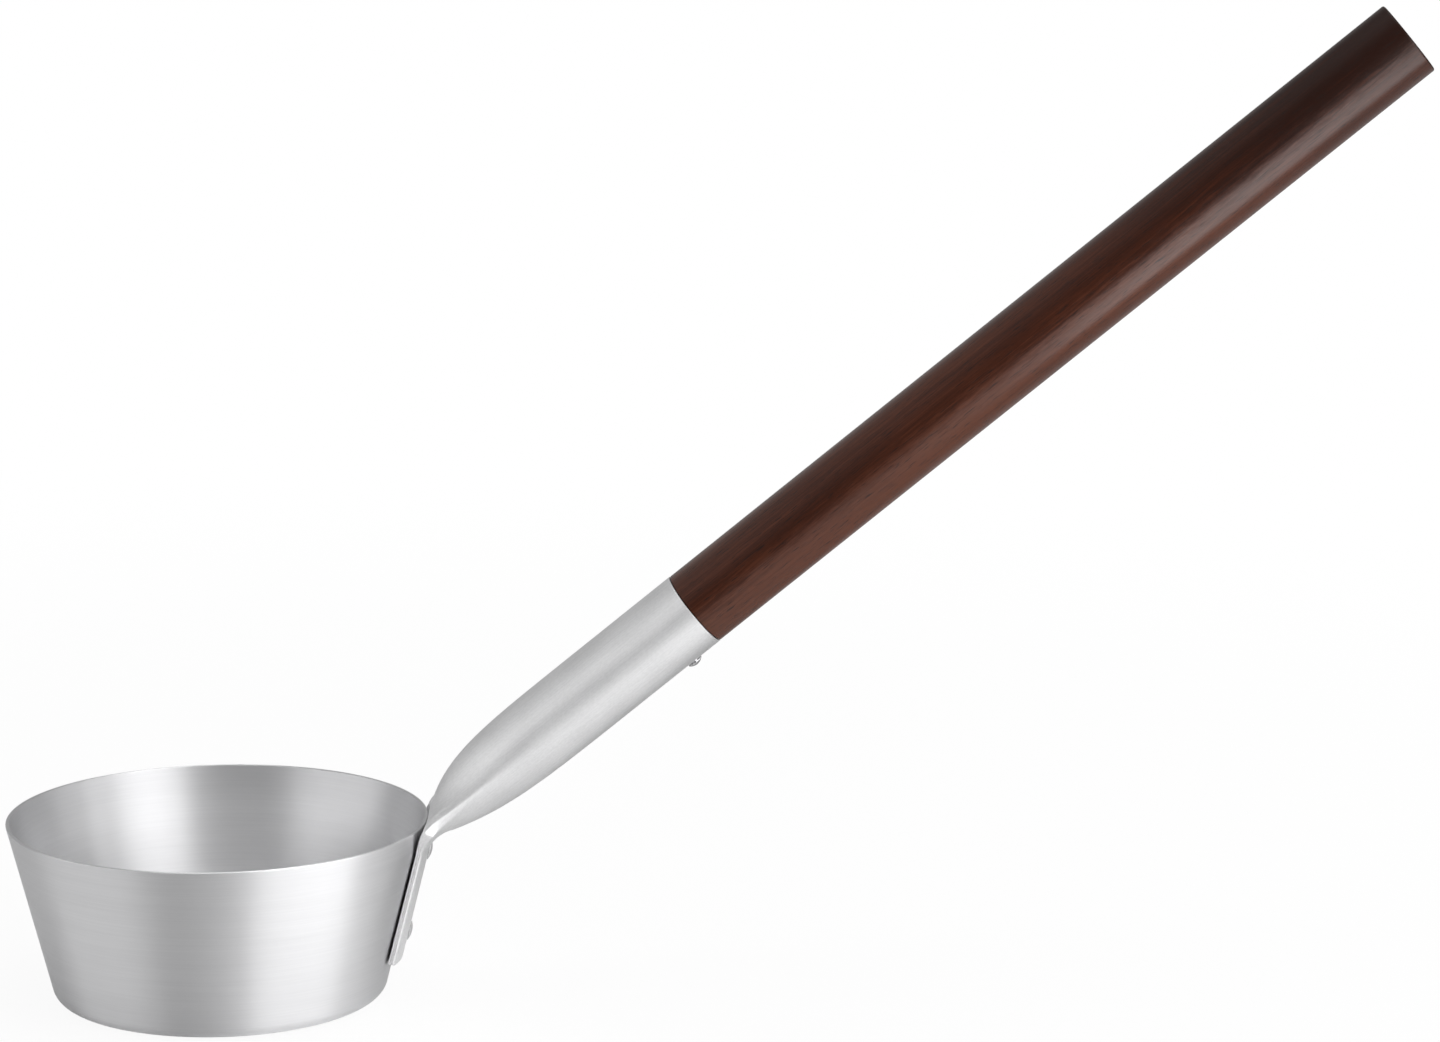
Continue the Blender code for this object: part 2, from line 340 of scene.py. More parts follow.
@dataclass(frozen=True)
class SpunAluminium:
    """Aluminium turned on the lathe: fine lines round the axis that draw reflections out across them.

    The inside's base colour has painted light, a little brighter than the outside, and painted shade towards
    the rim. The middle of the sheet has the radius foot at the base, and grows by flare for each unit of
    height.
    """

    foot: float
    flare: float
    dull: Colour = (0.66, 0.66, 0.67)
    bright: Colour = (0.82, 0.82, 0.83)
    lines: Grain = Grain(1.6, 1 / 0.00055, 3.0, 0.65)
    bands: Grain = Grain(1.6, 1 / 0.0045)
    mix: Span = (0.6, 0.4)
    contrast: Span = (0.25, 0.75)
    line_share: float = 0.31
    outside_share: float = 0.44
    # Painted light on the inside of the bowl, and painted shade on the inside near the rim.
    inside_painted_light: float = 0.25
    skin_blend: float = 0.0002
    rim_band: Span = (0.036, 0.050)
    rim_painted_shade: float = 0.57
    roughness: float = 0.41
    line_roughness: float = 0.04
    band_roughness: float = 0.06
    stretch: float = 0.95
    quarter_turn: float = 0.25
    relief: Span = (0.16, 0.00002)

    def material(self) -> bpy.types.Material:
        """Material with lines at a constant place along the sheet."""
        made = Finish(Slot.BOWL.value)
        x, y, height = made.split(made.place())
        radius = made.length(x, y) + NEARLY_ZERO
        place = (x / radius, y / radius, radius + height)
        lines = made.grain(place, self.lines)
        bands = made.grain(place, self.bands)
        tone = made.mixed((lines, bands), self.mix).step(*self.contrast)
        # Painted light: the inside's colour is lighter than the outside's; painted shade: the inside is
        # darker near the rim.
        inside = (height * self.flare + self.foot - radius).step(-self.skin_blend, self.skin_blend)
        gain = self.inside_painted_light - height.step(*self.rim_band) * self.rim_painted_shade
        share = tone * self.line_share + self.outside_share + inside * gain
        made.set(
            Base_Color=made.blend(share, self.dull, self.bright),
            Metallic=1.0,
            Roughness=self.roughness + bands * self.band_roughness + lines * self.line_roughness,
            Anisotropic=self.stretch,
            Anisotropic_Rotation=self.quarter_turn,
            Normal=made.relief(lines, *self.relief),
        )
        return made.material


@dataclass(frozen=True)
class SatinAluminium:
    """Tube metal with a satin skin: fine speckle and drawing lines, brighter where it is pressed flat."""

    origin: Vector
    tilt: float
    dull: Colour = (0.70, 0.70, 0.705)
    bright: Colour = (0.88, 0.88, 0.885)
    speckle: Grain = Grain(2.2, 1.1, 3.0, 0.6)
    lines: Grain = Grain(3.2, 0.06)
    clouds: Grain = Grain(0.12, 0.08)
    mix: tuple[float, float, float] = (0.45, 0.35, 0.20)
    contrast: Span = (0.3, 0.7)
    pressed_band: Span = (-9.0, -2.0)
    pressed_share: float = 0.45
    roughness: float = 0.44
    cloud_roughness: float = 0.08
    relief_mix: Span = (0.7, 0.3)
    relief: Span = (0.22, 0.00004)

    def material(self) -> bpy.types.Material:
        """Material in the tube's own frame."""
        made = Finish(Slot.SOCKET.value)
        place = made.in_frame(self.origin, self.tilt)
        speckle = made.grain(place, self.speckle)
        lines = made.grain(place, self.lines)
        clouds = made.grain(place, self.clouds)
        tone = made.mixed((speckle, lines, clouds), self.mix).step(*self.contrast)
        pressed = 1.0 - place[2].step(*self.pressed_band)
        share = tone * (1.0 - self.pressed_share) + pressed * self.pressed_share
        made.set(
            Base_Color=made.blend(share, self.dull, self.bright),
            Metallic=1.0,
            Roughness=self.roughness + clouds * self.cloud_roughness,
            Normal=made.relief(made.mixed((speckle, lines), self.relief_mix), *self.relief),
        )
        return made.material


@dataclass(frozen=True)
class FastenerMetal:
    """Bright metal of a small fastener, with faint tool marks."""

    slot: Slot
    colour: Colour
    roughness: float
    dulling: float = 0.82
    marks: Grain = Grain(1 / 0.0004, 1 / 0.0004, 3.0, 0.6)
    contrast: Span = (0.3, 0.7)
    mark_roughness: float = 0.10
    relief: Span = (0.15, 0.00003)

    def material(self) -> bpy.types.Material:
        """Material with marks in all directions."""
        made = Finish(self.slot.value)
        marks = made.grain(made.split(made.place()), self.marks)
        dull = tuple(self.dulling * value for value in self.colour)
        made.set(
            Base_Color=made.blend(marks.step(*self.contrast), dull, self.colour),
            Metallic=1.0,
            Roughness=self.roughness + marks * self.mark_roughness,
            Normal=made.relief(marks, *self.relief),
        )
        return made.material


@dataclass(frozen=True)
class LacqueredWood:
    """Dark stained hardwood with long grain, open pores and a satin lacquer.

    Places are in millimetres in the handle's own frame, whose third axis runs along the wood. The base
    colour has painted light on the lower side and on the near part of the crown, and painted shade towards
    the far end.
    """

    origin: Vector
    tilt: float
    length: float
    stops: tuple[tuple[float, Colour], ...] = (
        (0.30, (0.016, 0.0050, 0.0030)),
        (0.50, (0.040, 0.0105, 0.0046)),
        (0.72, (0.082, 0.0240, 0.0110)),
    )
    pore: Colour = (0.012, 0.0055, 0.0042)
    heart: Span = (27.0, -16.0)
    wander: Grain = Grain(0.05, 0.012)
    wander_reach: Span = (7.0, 4.2)
    rings: Grain = Grain(0.85, 0.006, 4.0, 0.6)
    fibres: Grain = Grain(4.6, 0.09, 3.0, 0.6)
    clouds: Grain = Grain(0.05, 0.020)
    mix: tuple[float, float, float] = (0.42, 0.36, 0.22)
    pores: Grain = Grain(4.0, 0.22, 1.0)
    pore_edge: Span = (0.60, 0.72)
    pore_share: float = 0.85
    flecks: Grain = Grain(1.3, 0.16, 3.0, 0.6)
    fleck_reach: float = 7.0
    lower_edge: float = 3.5
    crown_edge: Span = (4.0, 9.0)
    crown_fade: Span = (170.0, 330.0)
    end_fade: Span = (190.0, 345.0)
    end_face: Span = (0.5, 0.2)
    stain: float = 0.03
    # Painted shade towards the far end, and painted light on the lower side and the crown, in the base
    # colour.
    far_end_painted_shade: float = 0.24
    far_end_painted_light: float = 0.03
    lower_painted_light: float = 0.22
    crown_painted_light: float = 0.10
    coat: float = 0.05
    lower_coat: float = 0.45
    crown_coat: float = 0.55
    end_coat_loss: float = 0.52
    fleck_coat: Span = (0.75, 0.5)
    coat_roughness: float = 0.27
    gloss: float = 0.09
    roughness: float = 0.34
    pore_roughness: float = 0.2
    fibre_roughness: float = 0.06
    fibre_relief: float = 0.4
    relief: Span = (0.35, 0.00006)

    def growth(self, made: Finish, place: Place) -> Signal:
        """Growth rings round a heart outside the dowel.

        Args:
            made: the wood's material.
            place: coordinates in the handle's frame.

        Returns:
            The rings from 0 to 1.
        """
        under, side, along = place
        wander = made.grain(place, self.wander)
        from_heart = under - self.heart[0] + wander * self.wander_reach[0]
        beside_heart = side - self.heart[1] + wander * self.wander_reach[1]
        ring = made.length(from_heart, beside_heart)
        return made.noise(made.vector(ring * self.rings.across, along * self.rings.along, 0.0), self.rings)

    def zones(self, place: Place, flecks: Signal) -> Place:
        """Parts of the dowel with their own painted light and shade, and their own lacquer.

        Args:
            place: coordinates in the handle's frame.
            flecks: noise that breaks up the edge of the lower side.

        Returns:
            Masks of the far part, the lower side and the crown; the last two leave out the end face.
        """
        under, _, along = place
        start, full = self.end_face
        skin = 1.0 - along.step(self.length - start, self.length - full)
        depth = under + flecks * self.fleck_reach - self.fleck_reach / 2
        lower = depth.step(-self.lower_edge, self.lower_edge) * skin
        crown = (0.0 - under).step(*self.crown_edge) * skin
        return along.step(*self.end_fade), lower, crown

    def material(self) -> bpy.types.Material:
        """Material in the handle's own frame."""
        made = Finish(Slot.WOOD.value)
        place = made.in_frame(self.origin, self.tilt)
        fibres = made.grain(place, self.fibres)
        clouds = made.grain(place, self.clouds)
        flecks = made.grain(place, self.flecks)
        pores = made.grain(place, self.pores).step(*self.pore_edge)
        end, lower, crown = self.zones(place, flecks)
        near_crown = crown * (1.0 - place[2].step(*self.crown_fade))
        tone = made.mixed((self.growth(made, place), fibres, clouds), self.mix) - self.stain
        # Painted shade towards the far end, and painted light on the lower side and the near part of the
        # crown.
        tone = tone - end * (self.far_end_painted_shade - crown * self.far_end_painted_light)
        tone = tone + lower * (self.lower_painted_light + end * self.far_end_painted_light) + near_crown * self.crown_painted_light
        stained = made.node("ShaderNodeValToRGB", {"stops": self.stops}, {0: tone})
        coat = self.coat + lower * self.lower_coat + crown * (self.crown_coat - end * self.end_coat_loss)
        made.set(
            Base_Color=made.blend(pores * self.pore_share, stained, self.pore),
            Roughness=self.roughness + pores * self.pore_roughness + fibres * self.fibre_roughness,
            Specular_IOR_Level=self.gloss,
            Coat_Weight=coat * (self.fleck_coat[0] + flecks * self.fleck_coat[1]),
            Coat_Roughness=self.coat_roughness,
            Normal=made.relief(fibres * self.fibre_relief - pores, *self.relief),
        )
        return made.material


class Shape(Graph):
    """Geometry Nodes tree with named inputs that ends in Realize Instances and Set Material."""

    def __init__(self, name: str, inputs: dict[str, str]) -> None:
        """Start a tree.

        Args:
            name: name of the tree.
            inputs: socket type of each named size.
        """
        super().__init__(bpy.data.node_groups.new(name, "GeometryNodeTree"))
        sockets = {"Outline": "NodeSocketGeometry", **inputs, "Finish": "NodeSocketMaterial"}
        for label, kind in sockets.items():
            self.tree.interface.new_socket(label, in_out="INPUT", socket_type=kind)
        self.tree.interface.new_socket("Piece", in_out="OUTPUT", socket_type="NodeSocketGeometry")
        self.entry = self.tree.nodes.new("NodeGroupInput")

    def given(self, label: str) -> Signal:
        """Named input of the tree."""
        return Signal(self, self.entry.outputs[label])

    def lathe(self, outline: Signal, steps: Signal) -> Signal:
        """Turn an outline about the Z axis.

        Args:
            outline: points of the outline in order, in the XZ plane.
            steps: number of steps round the axis.

        Returns:
            The closed surface.
        """
        rows = self.node(
            "GeometryNodeAttributeDomainSize", {"component": "MESH"}, {0: outline}, "Point Count"
        )
        grid = self.node(
            "GeometryNodeMeshGrid",
            None,
            {"Size X": 1.0, "Size Y": 1.0, "Vertices X": steps + 1.0, "Vertices Y": rows},
        )
        place = self.node("GeometryNodeInputPosition")
        across, down, _ = self.split(place)
        row = self.node("ShaderNodeMath", {"operation": "ROUND"}, {0: (down + 0.5) * (rows - 1.0)})
        point = self.node(
            "GeometryNodeSampleIndex", {"data_type": "FLOAT_VECTOR"},
            {"Geometry": outline, "Value": place, "Index": row},
        )
        turned = self.node(
            "ShaderNodeVectorRotate", {"rotation_type": "Z_AXIS"},
            {"Vector": point, "Angle": (across + 0.5) * (2 * pi)},
        )
        moved = self.node("GeometryNodeSetPosition", None, {"Geometry": grid, "Position": turned})
        return self.node("GeometryNodeMergeByDistance", None, {"Geometry": moved, "Distance": WELD})

    def close(self, piece: Signal) -> None:
        """End the tree with plain geometry in the given finish."""
        plain = self.node("GeometryNodeRealizeInstances", None, {0: piece})
        values = {"Geometry": plain, "Material": self.given("Finish")}
        dressed = self.node("GeometryNodeSetMaterial", None, values)
        leave = self.tree.nodes.new("NodeGroupOutput")
        self.feed(leave.inputs, 0, dressed)

    def make(self, name: str, outline: list[Vector], values: dict[str, object]) -> bpy.types.Object:
        """Run the tree on an outline and keep the result as a plain mesh.

        Args:
            name: name of the piece.
            outline: points in the XZ plane.
            values: the tree's named inputs.

        Returns:
            The piece, with no modifier.
        """
        mesh = bpy.data.meshes.new(f"{name}_outline")
        links = [(i, i + 1) for i in range(len(outline) - 1)]
        mesh.from_pydata([(point.x, 0.0, point.y) for point in outline], links, [])
        piece = add_object(name, mesh)
        step = piece.modifiers.new("shape", "NODES")
        step.node_group = self.tree
        for socket in self.tree.interface.items_tree:
            if socket.in_out == "INPUT" and socket.name in values:
                step[socket.identifier] = values[socket.name]
        return plain_mesh(piece)


def add_object(name: str, mesh: bpy.types.Mesh) -> bpy.types.Object:
    """Object at the origin, linked to the scene."""
    item = bpy.data.objects.new(name, mesh)
    bpy.context.scene.collection.objects.link(item)
    return item


def plain_mesh(piece: bpy.types.Object) -> bpy.types.Object:
    """Turn a piece's modifiers into plain mesh, with its normals out.

    Args:
        piece: object with live modifiers.

    Returns:
        The same object.
    """
    bpy.context.view_layer.update()
    graph = bpy.context.evaluated_depsgraph_get()
    mesh = bpy.data.meshes.new_from_object(piece.evaluated_get(graph), depsgraph=graph)
    piece.modifiers.clear()
    piece.data = mesh
    mesh.name = piece.name
    shape = bmesh.new()
    shape.from_mesh(mesh)
    bmesh.ops.recalc_face_normals(shape, faces=shape.faces)
    shape.to_mesh(mesh)
    shape.free()
    return piece


def shade(piece: bpy.types.Object, crease: float = radians(35)) -> None:
    """Shade a piece smooth between its creases."""
    piece.data.shade_smooth()
    piece.data.set_sharp_from_angle(angle=crease)


def seat(piece: bpy.types.Object, slot: Slot, *nodes: str) -> bpy.types.Object:
    """Let a piece stand for its CAD nodes.

    Args:
        piece: finished piece.
        slot: material slot of the piece; not used.
        nodes: CAD nodes it replaces.

    Returns:
        The same object.
    """
    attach(piece, "root")
    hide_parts(*nodes)
    return piece


def lean(origin: Vector, tilt: float) -> Matrix:
    """Frame at a point whose Z axis leans from +Z towards +X."""
    return Matrix.Translation(origin) @ Matrix.Rotation(tilt, 4, "Y")


def bore(piece: bpy.types.Object, radius: float, depth: float, place: Matrix) -> None:
    """Drill a round hole.

    Args:
        piece: object to drill, with its place in its mesh.
        radius: radius of the hole.
        depth: length of the drill, about its centre.
        place: frame of the drill; the hole runs along its Z axis.
    """
    facets = 48
    shape = bmesh.new()
    bmesh.ops.create_cone(
        shape, cap_ends=True, segments=facets, radius1=radius, radius2=radius, depth=depth,
        matrix=place @ Matrix.Rotation(pi / facets, 4, "Z"),
    )
    carve(piece, shape)


def carve(piece: bpy.types.Object, shape: bmesh.types.BMesh) -> None:
    """Take a closed shape out of a piece, and free the shape."""
    mesh = bpy.data.meshes.new("tool")
    shape.to_mesh(mesh)
    shape.free()
    tool = add_object("tool", mesh)
    step = piece.modifiers.new("cut", "BOOLEAN")
    step.operation = "DIFFERENCE"
    step.solver = "EXACT"
    step.object = tool
    plain_mesh(piece)
    bpy.data.objects.remove(tool, do_unlink=True)


def clamp(value: float, low: float = 0.0) -> float:
    """Value kept between a lower limit and 1."""
    return min(1.0, max(low, value))


def rounded(corners: list[tuple[float, ...]], arc_steps: int = 10) -> list[Vector]:
    """Outline with rounded corners.

    Args:
        corners: (radius, height, fillet) of each corner; the two ends have no fillet.
        arc_steps: steps in each fillet.

    Returns:
        Points of the outline in order.
    """
    points = [Vector(corner[:2]) for corner in corners]
    outline = [points[0]]
    for before, here, after, corner in zip(points, points[1:], points[2:], corners[1:]):
        fillet = corner[2]
        if fillet == 0.0:
            outline.append(here)
            continue
        back = (before - here).normalized()
        ahead = (after - here).normalized()
        half = back.angle(ahead) / 2
        centre = here + (back + ahead).normalized() * fillet / sin(half)
        start = (here + back * fillet / tan(half) - centre).normalized()
        end = (here + ahead * fillet / tan(half) - centre).normalized()
        outline += [centre + fillet * start.slerp(end, i / arc_steps) for i in range(arc_steps + 1)]
    return outline + [points[-1]]


def dome(radius: float, height: float, seat_height: float, edge: float, steps: int = 12) -> list[Vector]:
    """Outline of a low round head from its crown to its edge.

    Args:
        radius: radius of the head.
        height: height of the head; a negative one faces down.
        seat_height: height of its flat underside.
        edge: height of the short upright edge below the dome.
        steps: steps along the dome.

    Returns:
        Points of the outline in order.
    """
    side = 1.0 if height > 0.0 else -1.0
    rise = abs(height) - edge
    ball = (radius ** 2 + rise ** 2) / (2 * rise)
    reaches = [radius * sin(pi / 2 * i / steps) for i in range(steps + 1)]
    arc = [Vector((r, seat_height + height - side * (ball - sqrt(ball ** 2 - r ** 2)))) for r in reaches]
    return arc + [Vector((radius, seat_height))]


def turned_piece() -> Shape:
    """Tree for a piece that is turned about an axis."""
    shape = Shape("turned_piece", {"Steps": "NodeSocketInt"})
    shape.close(shape.lathe(shape.given("Outline"), shape.given("Steps")))
    return shape


def rivet_row() -> Shape:
    """Tree for equal turned rivets in a straight row."""
    sizes = {
        "Steps": "NodeSocketInt",
        "Count": "NodeSocketInt",
        "First": "NodeSocketVector",
        "Pitch": "NodeSocketVector",
        "Tilt": "NodeSocketFloat",
    }
    shape = Shape("rivet_row", sizes)
    rivet = shape.lathe(shape.given("Outline"), shape.given("Steps"))
    places = shape.node(
        "GeometryNodeMeshLine",
        {"mode": "OFFSET"},
        {
            "Count": shape.given("Count"),
            "Start Location": shape.given("First"),
            "Offset": shape.given("Pitch"),
        },
    )
    turn = shape.vector(0.0, shape.given("Tilt"), 0.0)
    row = shape.node(
        "GeometryNodeInstanceOnPoints", None, {"Points": places, "Instance": rivet, "Rotation": turn}
    )
    shape.close(row)
    return shape


@dataclass
class Bowl:
    """Spun cup: flat base, rounded corner, straight tapered wall and a plain cut rim."""

    rim_radius: float = 0.0580
    foot_radius: float = 0.0454
    height: float = 0.0500
    sheet: float = 0.0010
    corner: float = 0.0042
    rim_edge: float = 0.0003
    steps: int = 240

    @property
    def wall_angle(self) -> float:
        """Slope of the wall above the level."""
        return atan2(self.height, self.rim_radius - self.foot_radius)

    @property
    def outward(self) -> Vector:
        """Direction square to the wall on the handle's side."""
        return Vector((sin(self.wall_angle), 0.0, -cos(self.wall_angle)))

    @property
    def wall_frame(self) -> Matrix:
        """Frame at the rim on the handle's side: Z out of the wall, X down along it."""
        return lean(Vector((self.rim_radius, 0.0, self.height)), pi - self.wall_angle)

    def outline(self) -> list[Vector]:
        """Outline from the middle of the inside, over the rim, to the middle of the base."""
        slant = self.sheet / sin(self.wall_angle)
        inner_foot = self.foot_radius + self.sheet / tan(self.wall_angle) - slant
        return rounded([
            (0.0, self.sheet),
            (inner_foot, self.sheet, self.corner - self.sheet),
            (self.rim_radius - slant, self.height, self.rim_edge),
            (self.rim_radius, self.height, self.rim_edge),
            (self.foot_radius, 0.0, self.corner),
            (0.0, 0.0),
        ])

    def build(self, lathe: Shape, drops: list[float], hole: float) -> bpy.types.Object:
        """Turn the bowl and drill it for the rivets.

        Args:
            lathe: tree of a turned piece.
            drops: places of the rivets below the rim, along the wall.
            hole: radius of the holes.

        Returns:
            The finished piece.
        """
        middle = self.foot_radius - self.sheet / sin(self.wall_angle) / 2
        metal = SpunAluminium(foot=middle, flare=1 / tan(self.wall_angle))
        piece = lathe.make("spun_bowl", self.outline(), {"Steps": self.steps, "Finish": metal.material()})
        for drop in drops:
            bore(piece, hole, 6 * self.sheet, self.wall_frame @ Matrix.Translation((drop, 0.0, 0.0)))
        shade(piece)
        return seat(piece, Slot.BOWL, "bowl")


@dataclass
class HandleSocket:
    """Aluminium tube, pressed flat at its lower end and bent at the rim to lie down the bowl's wall."""

    bowl: Bowl
    gap: float = 0.0003
    handle_angle: float = radians(39.3)
    radius: float = 0.0111
    wall: float = 0.00095
    length: float = 0.0933
    strap_thickness: float = 0.0022
    strap_half_width: float = 0.0130
    strap_length: float = 0.0401
    strap_corner: float = 0.0006
    strap_groove: float = 0.00058
    groove_reach: float = 0.38
    bend_radius: float = 0.0100
    narrow_start: float = -0.0005
    narrow_end: float = -0.0085
    top_swell: Span = (-0.0008, 6.2)
    belly_swell: Span = (-0.0062, 5.1)
    swell_end: float = 0.0720
    fold_flatness: float = 0.5
    fold_pinch: float = 0.6
    cut_edge: float = 0.00010
    ring_points: int = 112
    corner_steps: int = 10
    strap_steps: int = 24
    bend_steps: int = 24
    swell_steps: int = 60
    swell_crowding: float = 1.5
    tube_steps: int = 8

    @property
    def bend_turn(self) -> float:
        """Angle between the strap and the tube."""
        return self.bowl.wall_angle - self.handle_angle

    @property
    def half_arc(self) -> float:
        """Half the length of the bend."""
        return self.bend_radius * self.bend_turn / 2

    @property
    def bend_tangent(self) -> float:
        """Distance from the bend point to the bend's ends."""
        return self.bend_radius * tan(self.bend_turn / 2)

    @property
    def bend_point(self) -> Vector:
        """Point where the tube's axis meets the middle of the strap, level with the rim."""
        rim = Vector((self.bowl.rim_radius, 0.0, self.bowl.height))
        return rim + self.bowl.outward * (self.gap + self.strap_thickness / 2)

    @property
    def tilt(self) -> float:
        """Lean of the tube from +Z towards +X."""
        return pi / 2 - self.handle_angle

    @property
    def axis_frame(self) -> Matrix:
        """Frame at the bend point: Z along the tube, X out of its underside."""
        return lean(self.bend_point, self.tilt)

    def spine(self, s: float) -> tuple[Vector, float]:
        """Centre line of the pressed tube.

        Args:
            s: distance along it from the middle of the bend, up the tube.

        Returns:
            The point and the line's slope.
        """
        if abs(s) < self.half_arc:
            slope = (self.bowl.wall_angle + self.handle_angle) / 2 - s / self.bend_radius
            up_tube = Vector((cos(self.handle_angle), 0.0, sin(self.handle_angle)))
            below = Vector((sin(self.handle_angle), 0.0, -cos(self.handle_angle)))
            centre = self.bend_point + self.bend_tangent * up_tube + self.bend_radius * below
            return centre + self.bend_radius * Vector((-sin(slope), 0.0, cos(slope))), slope
        slope = self.handle_angle if s > 0 else self.bowl.wall_angle
        reach = abs(s) - self.half_arc + self.bend_tangent
        side = 1 if s > 0 else -1
        return self.bend_point + side * reach * Vector((cos(slope), 0.0, sin(slope))), slope

    def along(self, reach: float) -> float:
        """Place on the centre line at a distance from the bend point, measured along the straight lines."""
        return reach - self.bend_tangent + self.half_arc

    def half_height(self, s: float, start: float, rate: float) -> float:
        """Height of one side of the section, swelling from the flat strap to the round tube."""
        t = clamp((s - start) / (self.swell_end - start))
        return self.radius - (self.radius - self.strap_thickness / 2) * (1.0 - t) ** rate

    def narrowing(self, s: float) -> float:
        """How far the folds are pressed in, from 0 on the tube to 1 on the strap."""
        t = clamp((self.narrow_start - s) / (self.narrow_start - self.narrow_end))
        return t * t * (3.0 - 2.0 * t)

    def end_inset(self, s: float) -> float:
        """How much the strap's rounded end corners take off its half width."""
        to_end = s + self.along(self.strap_length)
        if to_end >= self.strap_corner:
            return 0.0
        reach = self.strap_corner ** 2 - (self.strap_corner - to_end) ** 2
        return self.strap_corner - sqrt(max(0.0, reach))

    def section(self, s: float, inset: float) -> list[Vector]:
        """Ring of the tube's wall.

        Pressing keeps the wall's girth. On the strap the folds are pressed in to its width, and the strap
        follows the curve of the bowl's wall.

        Args:
            s: place on the centre line.
            inset: depth below the outer skin.

        Returns:
            Points round the ring.
        """
        top = self.half_height(s, *self.top_swell)
        belly = self.half_height(s, *self.belly_swell)
        height = (top + belly) / 2
        strap_height = self.strap_thickness / 2
        widest = pi / 2 * (self.radius - strap_height)
        pressed = (self.radius - height) / (self.radius - strap_height)
        narrow = self.narrowing(s)
        pressed_in = narrow * (widest + strap_height - self.strap_half_width)
        flat = widest * pressed - pressed_in - self.end_inset(s)
        sharpness = 1.0 + self.fold_flatness * pressed ** 2
        pinch = 1.0 + self.fold_pinch * 4 * pressed * (1.0 - pressed)
        centre, slope = self.spine(s)
        up = Vector((-sin(slope), 0.0, cos(slope)))
        ring = []
        for i in range(self.ring_points):
            turn = 2 * pi * i / self.ring_points
            fold = clamp(sharpness * cos(turn), -1.0)
            groove = narrow * self.strap_groove * clamp(1.0 - (sin(turn) / self.groove_reach) ** 2)
            across = (height - inset) * cos(turn) + (flat - groove) * fold
            side = top if sin(turn) > 0.0 else belly
            rise = (side - inset) * copysign(abs(sin(turn)) ** pinch, sin(turn))
            rise += pressed * across ** 2 / (2 * centre.x)
            ring.append(centre + up * rise + Vector((0.0, across, 0.0)))
        return ring

    def places(self) -> list[float]:
        """Places of the sections from the cut end to the mouth."""
        end = -self.along(self.strap_length)
        mouth = self.along(self.length)
        turns = [pi / 2 * i / self.corner_steps for i in range(self.corner_steps + 1)]
        corner = [end + self.strap_corner * (1 - cos(turn)) for turn in turns]
        start = corner[-1]
        strap = [start + (-self.half_arc - start) * i / self.strap_steps for i in range(1, self.strap_steps)]
        bend = [self.half_arc * (2 * i / self.bend_steps - 1) for i in range(self.bend_steps)]
        rises = [(i / self.swell_steps) ** self.swell_crowding for i in range(self.swell_steps + 1)]
        swell = [self.half_arc + (self.swell_end - self.half_arc) * rise for rise in rises]
        shares = [i / self.tube_steps for i in range(1, self.tube_steps + 1)]
        tube = [self.swell_end + (mouth - self.swell_end) * share for share in shares]
        return corner + strap + bend + swell + tube

    def skins(self) -> list[list[Vector]]:
        """Rings of the outer skin up to the mouth, then of the inner skin back down."""
        places = self.places()
        outer = [self.section(s, 0.0) for s in places]
        inner = [self.section(s, self.wall) for s in places]
        edge = self.cut_edge
        outer[-1] = self.section(places[-1] - edge, 0.0)
        outer[0] = self.section(places[0], edge)
        outer.insert(1, self.section(places[0] + edge, 0.0))
        lip = [self.section(places[-1], edge), self.section(places[-1], self.wall - edge / 2)]
        inner[-1] = self.section(places[-1] - edge / 2, self.wall)
        return outer + lip + inner[::-1]

    def loft(self) -> bpy.types.Object:
        """Closed surface through the rings of both skins."""
        shape = bmesh.new()
        rings = [[shape.verts.new(p) for p in ring] for ring in self.skins()]
        for ring, other in zip(rings, rings[1:] + rings[:1]):
            for i in range(self.ring_points):
                j = (i + 1) % self.ring_points
                shape.faces.new((ring[i], ring[j], other[j], other[i]))
        bmesh.ops.recalc_face_normals(shape, faces=shape.faces)
        mesh = bpy.data.meshes.new("pressed_socket")
        shape.to_mesh(mesh)
        shape.free()
        return add_object("pressed_socket", mesh)

    def build(
        self, drops: list[float], rivet_hole: float, screw_place: float, screw_hole: float
    ) -> bpy.types.Object:
        """Press and drill the tube.

        Args:
            drops: places of the rivets below the rim, along the wall.
            rivet_hole: radius of their holes.
            screw_place: distance of the screw from the bend point.
            screw_hole: radius of its hole.

        Returns:
            The finished piece.
        """
        piece = self.loft()
        for drop in drops:
            place = self.bowl.wall_frame @ Matrix.Translation((drop, 0.0, 0.0))
            bore(piece, rivet_hole, 6 * self.strap_thickness, place)
        under = Matrix.Translation((self.radius, 0.0, screw_place)) @ Matrix.Rotation(pi / 2, 4, "Y")
        bore(piece, screw_hole, 4 * self.wall, self.axis_frame @ under)
        piece.data.materials.append(SatinAluminium(self.bend_point, self.tilt).material())
        shade(piece)
        return seat(piece, Slot.SOCKET, "handle_socket")


